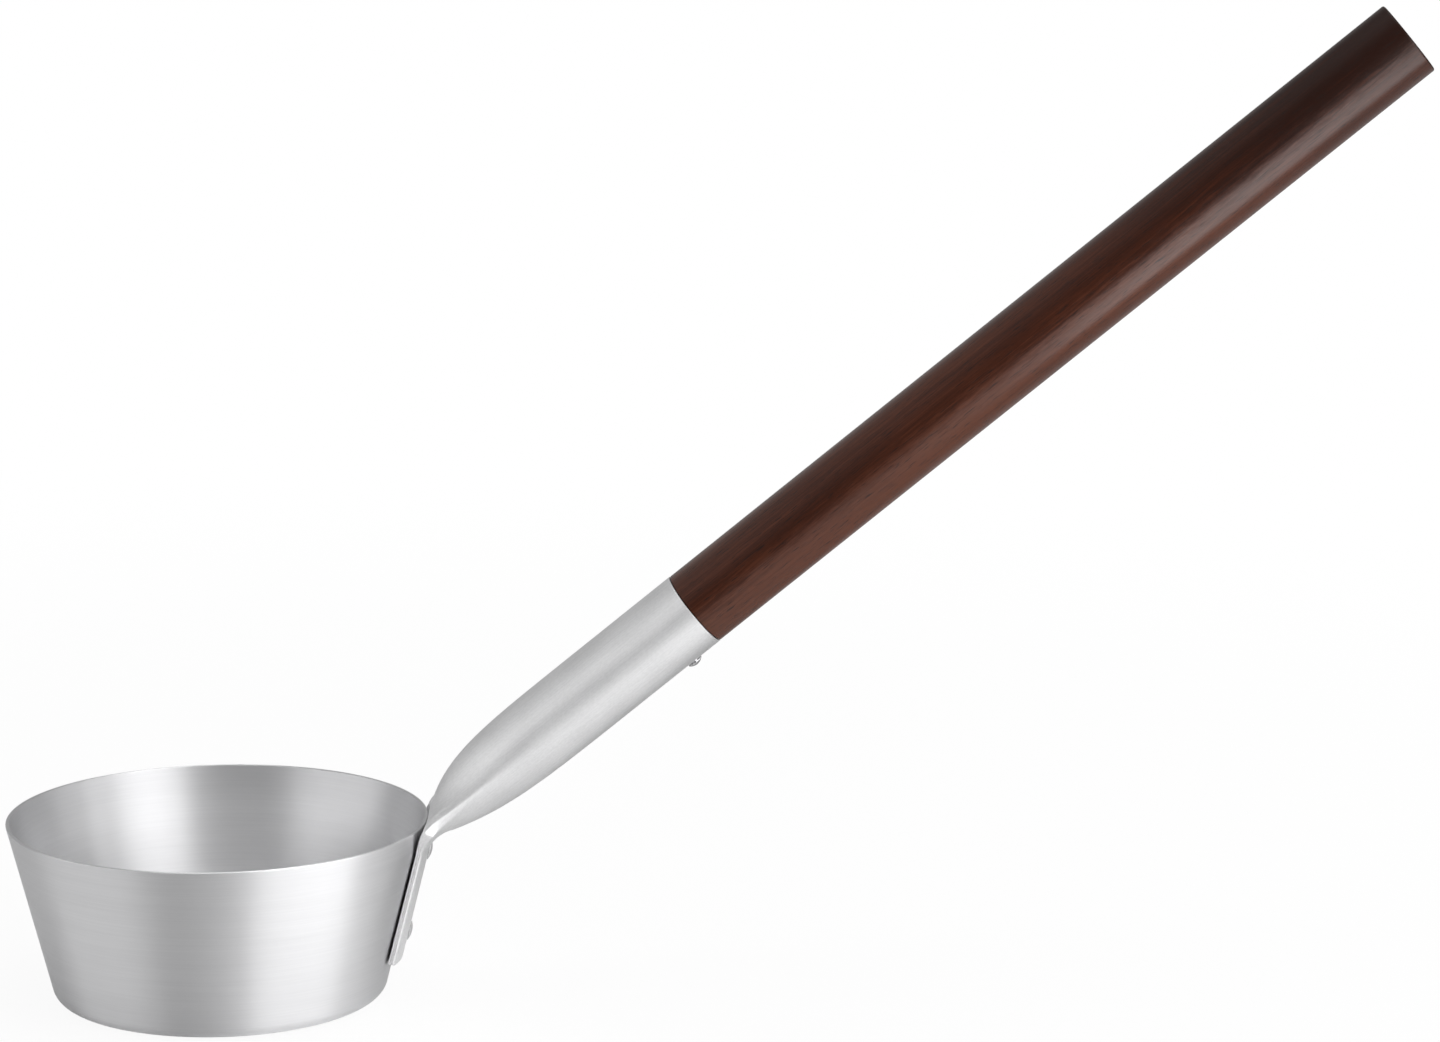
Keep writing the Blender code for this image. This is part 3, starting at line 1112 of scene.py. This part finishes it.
@dataclass
class WoodenHandle:
    """Straight dowel with a turned-down tenon inside the tube."""

    socket: HandleSocket
    radius: float = 0.0110
    length: float = 0.2464
    edge: float = 0.0006
    tenon_length: float = 0.0480
    tenon_edge: float = 0.0010
    steps: int = 160

    @property
    def shoulder(self) -> float:
        """Distance of the tenon's shoulder from the bend point."""
        return self.socket.length + self.socket.gap

    def outline(self) -> list[Vector]:
        """Outline from the middle of the far end to the middle of the tenon's end."""
        tenon = self.socket.radius - self.socket.wall - self.socket.gap
        return rounded([
            (0.0, self.length),
            (self.radius, self.length, self.edge),
            (self.radius, 0.0, self.edge / 4),
            (tenon, 0.0, 0.0),
            (tenon, -self.tenon_length, self.tenon_edge),
            (0.0, -self.tenon_length),
        ])

    def build(
        self, lathe: Shape, screw_place: float, screw_hole: float, screw_depth: float
    ) -> bpy.types.Object:
        """Turn the dowel, put it in the tube and drill it for the screw.

        Args:
            lathe: tree of a turned piece.
            screw_place: distance of the screw from the bend point.
            screw_hole: radius of its hole.
            screw_depth: depth of its hole below the tube's outside.

        Returns:
            The finished piece.
        """
        far_end = (self.shoulder + self.length) * MILLIMETRES
        wood = LacqueredWood(self.socket.bend_point, self.socket.tilt, far_end)
        values = {"Steps": self.steps, "Finish": wood.material()}
        piece = lathe.make("dark_wood_handle", self.outline(), values)
        axis = self.socket.axis_frame
        piece.data.transform(axis @ Matrix.Translation((0.0, 0.0, self.shoulder)))
        middle = self.socket.radius + self.socket.gap - screw_depth / 2
        place = Matrix.Translation((middle, 0.0, screw_place)) @ Matrix.Rotation(pi / 2, 4, "Y")
        bore(piece, screw_hole, screw_depth, axis @ place)
        shade(piece)
        return seat(piece, Slot.WOOD, "wooden_handle")


@dataclass
class BowlRivets:
    """Two solid rivets down the middle of the strap, with a low domed head on each side."""

    socket: HandleSocket
    drops: tuple[float, float] = (0.0091, 0.0329)
    shank: float = 0.0015
    head: float = 0.0027
    height: float = 0.0008
    edge: float = 0.00015
    seat_gap: float = 0.00005
    steps: int = 64
    metal: FastenerMetal = FastenerMetal(Slot.RIVET, colour=(0.78, 0.78, 0.785), roughness=0.38)

    @property
    def hole(self) -> float:
        """Radius of the rivets' holes."""
        return self.shank + self.socket.gap

    def outline(self) -> list[Vector]:
        """Outline from the outer crown to the inner crown."""
        outer = self.socket.strap_thickness + self.socket.gap + self.seat_gap
        inner = -self.socket.bowl.sheet - self.socket.gap
        outline = dome(self.head, self.height, outer, self.edge)
        outline += [Vector((self.shank, outer)), Vector((self.shank, inner))]
        return outline + dome(self.head, -self.height, inner, self.edge)[::-1]

    def build(self, row: Shape) -> bpy.types.Object:
        """Set the rivets in their row.

        Args:
            row: tree of a row of rivets.

        Returns:
            The finished piece.
        """
        wall = self.socket.bowl.wall_frame
        first = wall @ Vector((self.drops[0], 0.0, 0.0))
        second = wall @ Vector((self.drops[1], 0.0, 0.0))
        values = {
            "Steps": self.steps,
            "Count": len(self.drops),
            "First": first,
            "Pitch": second - first,
            "Tilt": pi - self.socket.bowl.wall_angle,
            "Finish": self.metal.material(),
        }
        piece = row.make("bowl_rivets", self.outline(), values)
        shade(piece)
        return seat(piece, Slot.RIVET, "upper_bowl_rivet", "lower_bowl_rivet")


@dataclass
class HandleScrew:
    """Round-head wood screw with a cross recess, driven square to the tube from below."""

    socket: HandleSocket
    from_mouth: float = 0.0093
    head: float = 0.0022
    height: float = 0.0011
    edge: float = 0.00012
    shank: float = 0.0011
    length: float = 0.0120
    point: float = 0.0030
    recess_width: float = 0.0006
    recess_reach: float = 0.0026
    recess_depth: float = 0.0007
    steps: int = 64
    metal: FastenerMetal = FastenerMetal(Slot.SCREW, colour=(0.72, 0.72, 0.73), roughness=0.16)

    @property
    def place(self) -> float:
        """Distance of the screw from the bend point."""
        return self.socket.length - self.from_mouth

    @property
    def hole(self) -> float:
        """Radius of the screw's hole."""
        return self.shank + self.socket.gap

    @property
    def hole_depth(self) -> float:
        """Depth of the hole below the tube's outside, a little more than the screw's length."""
        return self.length + 3 * self.socket.gap

    def outline(self) -> list[Vector]:
        """Outline from the head's crown to the point."""
        under_head = self.socket.radius + self.socket.gap
        tip = under_head - self.length
        outline = dome(self.head, self.height, under_head, self.edge)
        outline += [Vector((self.shank, under_head)), Vector((self.shank, tip + self.point))]
        return outline + [Vector((0.0, tip))]

    def build(self, lathe: Shape) -> bpy.types.Object:
        """Turn the screw, cut its recess and drive it.

        Args:
            lathe: tree of a turned piece.

        Returns:
            The finished piece.
        """
        values = {"Steps": self.steps, "Finish": self.metal.material()}
        piece = lathe.make("round_head_screw", self.outline(), values)
        crown = self.socket.radius + self.socket.gap + self.height
        for turn in (pi / 4, 3 * pi / 4):
            shape = bmesh.new()
            sizes = Matrix.Diagonal((self.recess_reach, self.recess_width, 2 * self.recess_depth, 1.0))
            slot = Matrix.Translation((0.0, 0.0, crown)) @ Matrix.Rotation(turn, 4, "Z") @ sizes
            bmesh.ops.create_cube(shape, size=1.0, matrix=slot)
            carve(piece, shape)
        driven = Matrix.Translation((0.0, 0.0, self.place)) @ Matrix.Rotation(pi / 2, 4, "Y")
        piece.data.transform(self.socket.axis_frame @ driven)
        shade(piece)
        return seat(piece, Slot.SCREW, "handle_screw")


@dataclass(frozen=True)
class Softbox:
    """Rectangular studio lamp that faces a point."""

    name: str
    place: tuple[float, float, float]
    aim: tuple[float, float, float]
    width: float
    height: float
    level: float

    def build(self) -> None:
        """Add the lamp; a level of 1 is as bright as white paper."""
        lamp = bpy.data.lights.new(self.name, "AREA")
        lamp.shape = "RECTANGLE"
        lamp.size = self.width
        lamp.size_y = self.height
        lamp.energy = self.level * pi * self.width * self.height
        item = bpy.data.objects.new(self.name, lamp)
        item.location = self.place
        towards = Vector(self.aim) - Vector(self.place)
        item.rotation_euler = towards.to_track_quat("-Z", "Y").to_euler()
        item.visible_camera = False
        bpy.context.scene.collection.objects.link(item)


@dataclass(frozen=True)
class Reflection:
    """Lighter or darker patch of the room or the floor in one direction from the object.

    Angles are in degrees. A bearing of 0 is towards the camera and 90 towards +X. The patch has its full
    level within core of its bearing, ends at reach from it, and lies between two heights above the horizon.
    """

    bearing: float
    core: float
    reach: float
    level: float
    foot: float = 0.0
    top: float = 90.0

    def towards(self, x: Signal, y: Signal) -> Signal:
        """Level in a direction from the object.

        Args:
            x: the direction's part along +X.
            y: its part along +Y.

        Returns:
            The patch's level, or 0 outside it.
        """
        guard = 0.001
        bearing = radians(self.bearing)
        facing = (x * sin(bearing) - y * cos(bearing)) / (Graph.length(x, y) + guard)
        return facing.step(cos(radians(self.reach)), cos(radians(self.core))) * self.level

    def in_room(self, x: Signal, y: Signal, z: Signal) -> Signal:
        """Level in a direction, between the patch's heights.

        Args:
            x: the direction's part along +X.
            y: its part along +Y.
            z: its part along +Z.

        Returns:
            The patch's level, or 0 outside it.
        """
        level = self.towards(x, y)
        if self.foot > 0.0:
            level = level * z.step(0.0, sin(radians(self.foot)))
        if self.top < 90.0:
            level = level * (1.0 - z.step(sin(radians(self.top / 2)), sin(radians(self.top))))
        return level


@dataclass
class Studio:
    """Pale floor, soft light and the camera.

    The camera sees plain white paper. The object sees a sheet of paper on a dark table, with paler parts
    behind, beside and to the left, and a room with lighter and darker directions.
    """

    focal_pixels: float = 5200.0
    sensor: float = 36.0
    pitch: float = radians(11.804)
    distance: float = 1.43747
    aim: tuple[float, float, float] = (0.0, 0.0, 0.025)
    aim_pixel: Span = (219.25, 904.0)
    floor_half: float = 15.0
    floor_drop: float = 0.0002
    floor_glow: float = 0.92
    floor_in_metal: float = 0.02
    shadow_reach: Span = (0.25, 0.75)
    paper: tuple[Colour, Colour] = ((0.90, 0.90, 0.90), (0.92, 0.92, 0.92))
    paper_clouds: Grain = Grain(3.0, 3.0)
    paper_roughness: float = 0.9
    paper_middle: Span = (0.09, -0.21)
    paper_size: Span = (0.31, 0.25)
    paper_edge: Span = (0.7, 1.4)
    paper_shades: tuple[Reflection, ...] = (
        Reflection(bearing=-34, core=6, reach=50, level=0.34),
        Reflection(bearing=45, core=8, reach=28, level=0.13),
    )
    shade_limit: Span = (0.12, 0.17)
    left_light: Reflection = Reflection(bearing=-115, core=20, reach=50, level=0.72)
    back_reach: Span = (0.02, 0.20)
    side_reach: Span = (0.19, 0.30)
    back_level: float = 0.50
    table_level: float = 0.12
    paper_in_metal: float = 0.12
    room_level: float = 0.56
    upper_room: float = 0.30
    upper_edge: Span = (24.0, 56.0)
    reflections: tuple[Reflection, ...] = (
        Reflection(bearing=-18, core=8, reach=38, level=-0.38),
        Reflection(bearing=-68, core=16, reach=45, level=2.5, foot=10, top=30),
        Reflection(bearing=72, core=16, reach=52, level=1.0),
        Reflection(bearing=180, core=25, reach=75, level=-0.16),
    )
    lamps: tuple[Softbox, ...] = (
        Softbox(
            "side_softbox", place=(0.88, -0.57, 0.40), aim=(0.10, 0.09, 0.05),
            width=1.29, height=0.95, level=1.72,
        ),
        Softbox(
            "top_softbox", place=(0.13, 0.10, 1.60), aim=(0.13, 0.0, 0.0),
            width=1.3, height=1.3, level=2.2,
        ),
        Softbox(
            "floor_panel", place=(0.50, -0.61, 0.002), aim=(0.50, -0.60, 100.0),
            width=0.28, height=1.00, level=4.3,
        ),
    )

    def camera(self) -> None:
        """Camera at the photograph's viewing angle, with no shift."""
        right = Vector((1.0, 0.0, 0.0))
        ahead = Vector((0.0, cos(self.pitch), -sin(self.pitch)))
        up = Vector((0.0, sin(self.pitch), cos(self.pitch)))
        x = (self.aim_pixel[0] - PIXELS[0] / 2) / self.focal_pixels * self.distance
        y = -(self.aim_pixel[1] - PIXELS[1] / 2) / self.focal_pixels * self.distance
        data = bpy.data.cameras.new("camera")
        data.sensor_fit = "HORIZONTAL"
        data.sensor_width = self.sensor
        data.lens = self.focal_pixels / PIXELS[0] * self.sensor
        item = bpy.data.objects.new("camera", data)
        item.location = Vector(self.aim) - (x * right + y * up + self.distance * ahead)
        item.rotation_euler = (pi / 2 - self.pitch, 0.0, 0.0)
        bpy.context.scene.collection.objects.link(item)
        bpy.context.scene.camera = item

    @staticmethod
    def seen(graph: Graph, metal_share: float) -> Signal:
        """How much of the white background a ray sees.

        Args:
            graph: tree of the floor or the world.
            metal_share: share of it that shows in metal.

        Returns:
            1 for the camera, less for metal, 0 for light that falls on the object.
        """
        path = graph.tree.nodes.new("ShaderNodeLightPath")
        names = ("Is Camera Ray", "Is Glossy Ray", "Is Transmission Ray")
        camera, glossy, through = (Signal(graph, path.outputs[name]) for name in names)
        return camera.larger(through).larger(glossy * metal_share)

    def lit(self, x: Signal, y: Signal) -> Signal:
        """How light the floor is to the object.

        Args:
            x: place on the floor along +X.
            y: place on the floor along +Y.

        Returns:
            1 on white paper, 0 on the dark table.
        """
        across = (x - self.paper_middle[0]) / self.paper_size[0]
        ahead = (y - self.paper_middle[1]) / self.paper_size[1]
        sheet = 1.0 - Graph.length(across, ahead).step(*self.paper_edge)
        close = 1.0 - Graph.length(x, y).step(*self.shade_limit)
        for patch in self.paper_shades:
            sheet = sheet * (1.0 - patch.towards(x, y) * close)
        back = y.step(*self.back_reach).larger(x.step(*self.side_reach)) * self.back_level
        return sheet.larger(back).larger(self.left_light.towards(x, y))

    def floor_finish(self) -> bpy.types.Material:
        """White floor that keeps the object's shadow near it."""
        made = Finish("pale_floor")
        x, y, _ = made.split(made.place())
        waves = self.paper_clouds
        clouds = made.noise(made.vector(x * waves.across, y * waves.along, 0.0), waves)
        camera = made.node("ShaderNodeLightPath", output="Is Camera Ray")
        unseen = (1.0 - self.lit(x, y)) * (1.0 - camera)
        paper = made.blend(clouds, *self.paper)
        made.set(
            Base_Color=made.blend(unseen, paper, (self.table_level,) * 3),
            Roughness=self.paper_roughness,
        )
        glow = made.node("ShaderNodeEmission", None, {"Color": (1.0, 1.0, 1.0, 1.0), "Strength": 1.0})
        away = Graph.length(x, y).step(*self.shadow_reach)
        glow_share = self.floor_glow + away * (1.0 - self.floor_glow)
        share = self.seen(made, self.floor_in_metal) * glow_share * (1.0 - unseen)
        plain = Signal(made, made.shader.outputs[0])
        mixed = made.node("ShaderNodeMixShader", None, {0: share, 1: plain, 2: glow})
        made.feed(made.tree.nodes["Material Output"].inputs, "Surface", mixed)
        return made.material

    def floor(self) -> None:
        """Flat square floor just below the object."""
        half = self.floor_half
        corners = [(-half, -half, 0.0), (half, -half, 0.0), (half, half, 0.0), (-half, half, 0.0)]
        mesh = bpy.data.meshes.new("studio_floor")
        mesh.from_pydata(corners, [], [(0, 1, 2, 3)])
        mesh.materials.append(self.floor_finish())
        item = add_object("studio_floor", mesh)
        item.location.z = -self.floor_drop

    def room(self, graph: Graph) -> Signal:
        """Brightness of the room in each direction round the object."""
        x, y, z = graph.split(graph.node("ShaderNodeTexCoord", output="Generated"))
        tone: Signal | float = self.room_level
        for patch in self.reflections:
            tone = tone + patch.in_room(x, y, z)
        low, high = (sin(radians(angle)) for angle in self.upper_edge)
        return tone.larger(0.0) * (1.0 - z.step(low, high) * (1.0 - self.upper_room))

    def world(self) -> None:
        """Room that lights the object; the camera sees white paper, and metal sees some of the paper."""
        world = bpy.data.worlds.new("studio")
        world.use_nodes = True
        bpy.context.scene.world = world
        made = Graph(world.node_tree)
        world.node_tree.nodes.clear()
        tone = self.room(made)
        grey = made.vector(tone, tone, tone)
        room = made.node("ShaderNodeBackground", None, {"Color": grey, "Strength": 1.0})
        white = made.node("ShaderNodeBackground", None, {"Color": (1.0, 1.0, 1.0, 1.0), "Strength": 1.0})
        share = self.seen(made, self.paper_in_metal)
        mixed = made.node("ShaderNodeMixShader", None, {0: share, 1: room, 2: white})
        leave = world.node_tree.nodes.new("ShaderNodeOutputWorld")
        made.feed(leave.inputs, "Surface", mixed)

    def build(self) -> None:
        """Set up the studio."""
        bpy.context.scene.view_settings.view_transform = "Standard"
        self.camera()
        self.floor()
        self.world()
        for lamp in self.lamps:
            lamp.build()


def main() -> None:
    """Build the studio and the ladle's pieces in order."""
    logging.basicConfig(level=logging.INFO, format="%(name)s: %(message)s")
    Studio().build()
    lathe = turned_piece()
    bowl = Bowl()
    socket = HandleSocket(bowl)
    rivets = BowlRivets(socket)
    screw = HandleScrew(socket)
    handle = WoodenHandle(socket)
    drops = list(rivets.drops)
    steps: list[Callable[[], bpy.types.Object]] = [
        lambda: bowl.build(lathe, drops, rivets.hole),
        lambda: socket.build(drops, rivets.hole, screw.place, screw.hole),
        lambda: handle.build(lathe, screw.place, screw.hole, screw.hole_depth),
        lambda: rivets.build(rivet_row()),
        lambda: screw.build(lathe),
    ]
    for step in steps:
        piece = step()
        LOG.info("%s: %d faces", piece.name, len(piece.data.polygons))


if __name__ == "__main__":
    main()
